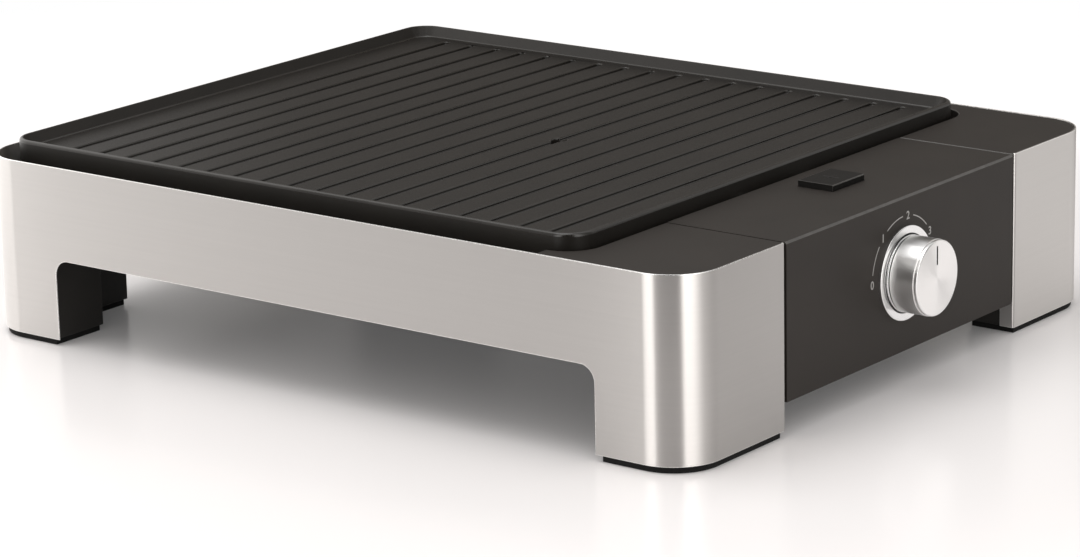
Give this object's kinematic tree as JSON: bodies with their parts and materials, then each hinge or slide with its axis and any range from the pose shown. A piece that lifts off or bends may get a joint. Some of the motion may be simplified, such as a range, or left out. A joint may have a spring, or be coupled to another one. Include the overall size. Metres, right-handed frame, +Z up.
{
  "type": "electric table grill",
  "caption": "Electric table grill: steel-clad base on four legs, lift-off ribbed plate, slide-out drip tray, thermostat knob and push button.",
  "frame": {"origin": "on the standing surface, under the middle of the whole object's box, knob included", "axes": "+X towards the control end, +Y to the back, +Z up"},
  "size_m": [0.5084, 0.399, 0.111],
  "materials": {
    "brushed_steel": "horizontal brushed grain",
    "black_frame": "fine matte",
    "foot_rubber": "matte",
    "zinc_steel": "zinc plated",
    "black_enamel": "satin enamel",
    "deck_plastic": "dark warm grey, fine matte",
    "bezel_chrome": "polished",
    "knob_chrome": "satin polished",
    "pointer_black": "matte",
    "switch_plastic": "moulded thermoset",
    "button_plastic": "fine matte",
    "nonstick_plate": "cast, black non-stick coating",
    "ceramic": "glazed steatite",
    "element_steel": "oxidised sheath",
    "reflector_aluminium": "plain sheet",
    "tray_enamel": "satin enamel",
    "lead_insulation": "silicone sleeve"
  },
  "bodies": {
    "base": {"front_steel_panel": "brushed_steel", "rear_steel_panel": "brushed_steel", "front_frame": "black_frame", "rear_frame": "black_frame", "foot_front_left": "foot_rubber", "foot_front_right": "foot_rubber", "foot_rear_left": "foot_rubber", "foot_rear_right": "foot_rubber", "foot_screws": "zinc_steel", "base_pan": "black_enamel", "base_pan_screws": "zinc_steel", "left_end_cover": "black_frame", "deck_front": "deck_plastic", "deck_rear": "deck_plastic", "control_box_cover": "deck_plastic", "control_box_base": "black_frame", "control_box_screws": "zinc_steel", "knob_bezel": "bezel_chrome", "thermostat_body": "switch_plastic", "thermostat_nut": "zinc_steel", "button_spring": "zinc_steel", "button_switch": "switch_plastic", "switch_bracket": "zinc_steel", "plate_supports": "ceramic", "heating_element": "element_steel", "element_insulators": "ceramic", "element_brackets": "zinc_steel", "heat_reflector": "reflector_aluminium", "reflector_standoffs": "zinc_steel", "reflector_screws": "zinc_steel", "tray_runner_front": "zinc_steel", "tray_runner_rear": "zinc_steel", "cord_grommet": "foot_rubber", "terminal_block": "switch_plastic", "thermal_fuse": "ceramic", "internal_leads": "lead_insulation"},
    "grill_plate": {"grill_plate": "nonstick_plate"},
    "drip_tray": {"drip_tray": "tray_enamel", "drip_tray_front": "black_frame", "tray_screws": "zinc_steel"},
    "knob": {"knob_shell": "knob_chrome", "knob_insert": "black_frame", "knob_pointer": "pointer_black", "thermostat_shaft": "zinc_steel"},
    "push_button": {"push_button": "button_plastic", "button_window": "pointer_black"}
  },
  "joints": [
    {"name": "knob_turn", "type": "hinge", "parent": "base", "child": "knob", "pos_m": [0.2335, 0, 0.0617], "axis": [1, 0, 0], "range_deg": [-135, 90]},
    {"name": "plate_lift", "type": "slide", "parent": "base", "child": "grill_plate", "axis": [0, 0, 1], "range_m": [0, 0.15]},
    {"name": "tray_slide", "type": "slide", "parent": "base", "child": "drip_tray", "axis": [-1, 0, 0], "range_m": [0, 0.39]},
    {"name": "button_press", "type": "slide", "parent": "base", "child": "push_button", "axis": [0, 0, -1], "range_m": [0, 0.0025], "stiffness_N_per_m": 600, "springref_m": -0.002, "deforming": ["button_spring"]}
  ]
}
